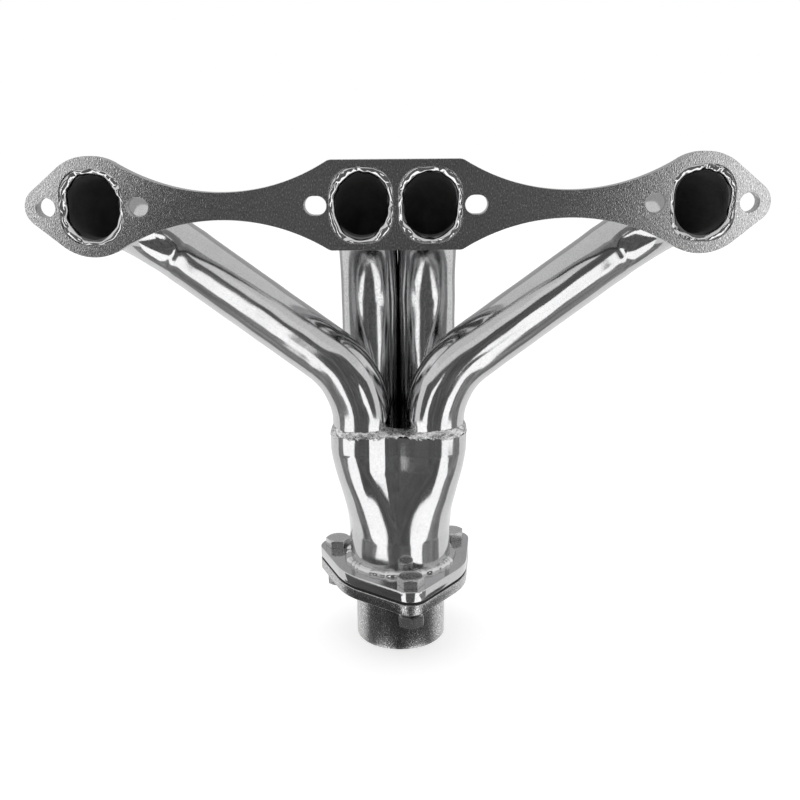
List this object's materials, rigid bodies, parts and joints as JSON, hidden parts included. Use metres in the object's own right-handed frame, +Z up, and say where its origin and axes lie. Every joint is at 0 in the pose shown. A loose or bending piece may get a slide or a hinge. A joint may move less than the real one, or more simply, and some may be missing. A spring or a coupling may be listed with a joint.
{
  "type": "exhaust manifold",
  "caption": "Polished tubular exhaust manifold: plate flange for the cylinder head, bent primary tubes that merge in a collector, bolted outlet flange with gasket and slip-joint stub.",
  "frame": {"origin": "middle of the machined face of the head flange, on the line of its bolt holes", "axes": "+X along the head flange, +Y away from the cylinder head, +Z up"},
  "size_m": [0.4766, 0.1152, 0.358],
  "materials": {
    "polished_steel": "mirror-polished plating",
    "flange_steel": "ground plate with a dark satin sheen and fine grain",
    "weld_bead": "plated over a lumpy weld",
    "zinc_steel": "bright plating over rolled steel, slightly mottled",
    "gasket": "matt pressed fibre and graphite"
  },
  "bodies": {
    "manifold": {"head_flange": "flange_steel", "port_stub_outer_left": "polished_steel", "port_stub_inner_left": "polished_steel", "port_stub_inner_right": "polished_steel", "port_stub_outer_right": "polished_steel", "outer_elbow_left": "polished_steel", "outer_elbow_right": "polished_steel", "outer_tube_left": "polished_steel", "inner_tube_left": "polished_steel", "inner_tube_right": "polished_steel", "outer_tube_right": "polished_steel", "collector": "polished_steel", "collector_flange": "polished_steel", "bolt_front": "polished_steel", "bolt_right": "polished_steel", "bolt_left": "polished_steel", "port_weld_outer_left": "weld_bead", "port_weld_inner_left": "weld_bead", "port_weld_inner_right": "weld_bead", "port_weld_outer_right": "weld_bead", "star_plate": "weld_bead", "rim_weld": "weld_bead", "neck_weld": "weld_bead", "outlet_weld": "weld_bead", "outlet_gasket": "gasket", "outlet_flange": "zinc_steel", "outlet_tube": "zinc_steel"},
    "washers_front": {"flat_washer_front": "zinc_steel", "lock_washer_front": "zinc_steel"},
    "nut_front": {"nut_front": "zinc_steel"},
    "washers_right": {"flat_washer_right": "zinc_steel", "lock_washer_right": "zinc_steel"},
    "nut_right": {"nut_right": "zinc_steel"},
    "washers_left": {"flat_washer_left": "zinc_steel", "lock_washer_left": "zinc_steel"},
    "nut_left": {"nut_left": "zinc_steel"}
  },
  "joints": [
    {"name": "washer_drop_front", "type": "slide", "parent": "manifold", "child": "washers_front", "axis": [0, 0, -1], "range_m": [0, 0.0076]},
    {"name": "nut_turn_front", "type": "hinge", "parent": "washers_front", "child": "nut_front", "pos_m": [0.0081, -0.00116, -0.28664], "axis": [0, 0, -1], "range_deg": [0, 1800]},
    {"name": "washer_drop_right", "type": "slide", "parent": "manifold", "child": "washers_right", "axis": [0, 0, -1], "range_m": [0, 0.0076]},
    {"name": "nut_turn_right", "type": "hinge", "parent": "washers_right", "child": "nut_right", "pos_m": [0.04026, 0.0826, -0.28664], "axis": [0, 0, -1], "range_deg": [0, 1800]},
    {"name": "washer_drop_left", "type": "slide", "parent": "manifold", "child": "washers_left", "axis": [0, 0, -1], "range_m": [0, 0.0076]},
    {"name": "nut_turn_left", "type": "hinge", "parent": "washers_left", "child": "nut_left", "pos_m": [-0.04836, 0.06856, -0.28664], "axis": [0, 0, -1], "range_deg": [0, 1800]}
  ],
  "couplings": [
    {"joint": "washer_drop_front", "follows": "nut_turn_front", "m_per_rad": 0.00023873},
    {"joint": "washer_drop_right", "follows": "nut_turn_right", "m_per_rad": 0.00023873},
    {"joint": "washer_drop_left", "follows": "nut_turn_left", "m_per_rad": 0.00023873}
  ]
}
